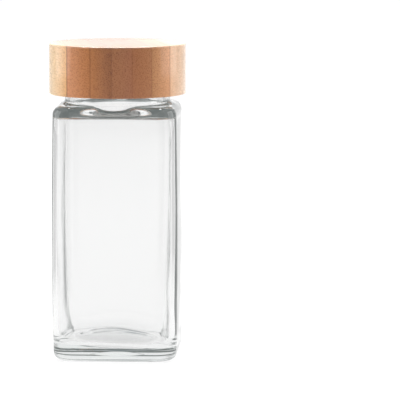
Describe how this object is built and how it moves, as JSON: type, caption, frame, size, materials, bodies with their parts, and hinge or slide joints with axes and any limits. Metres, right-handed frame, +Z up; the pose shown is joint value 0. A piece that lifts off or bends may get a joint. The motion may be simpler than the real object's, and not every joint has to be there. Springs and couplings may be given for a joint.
{
  "type": "spice jar",
  "caption": "Square glass spice jar with rounded corners, a round neck with a sift insert, and a screw-on cap turned from laminated bamboo.",
  "frame": {"origin": "centre of the jar's foot, on the surface that it stands on", "axes": "+Z up along the neck's axis; X and Y square to the jar's flat faces"},
  "size_m": [0.05, 0.05, 0.115],
  "materials": {
    "clear_glass": "clear, fire polished",
    "insert_plastic": "satin, moulded polyethylene",
    "liner_plastic": "smooth, moulded polypropylene",
    "seal_foam": "matt foam",
    "bamboo": "sanded, thin matt lacquer"
  },
  "bodies": {
    "jar": {"glass_jar": "clear_glass", "shaker_insert": "insert_plastic"},
    "seal": {"seal_disc": "seal_foam"},
    "cap": {"screw_liner": "liner_plastic", "cap_strip_1": "bamboo", "cap_strip_2": "bamboo", "cap_strip_3": "bamboo", "cap_strip_4": "bamboo", "cap_strip_5": "bamboo", "cap_strip_6": "bamboo", "cap_strip_7": "bamboo"}
  },
  "joints": [
    {"name": "cap_rise", "type": "slide", "parent": "jar", "child": "seal", "axis": [0, 0, 1], "range_m": [0, 0.0201]},
    {"name": "cap_turn", "type": "hinge", "parent": "seal", "child": "cap", "pos_m": [0, 0, 0.1106], "axis": [0, 0, 1], "range_deg": [0, 1800]}
  ],
  "couplings": [
    {"joint": "cap_rise", "follows": "cap_turn", "m_per_rad": 0.00063662}
  ]
}
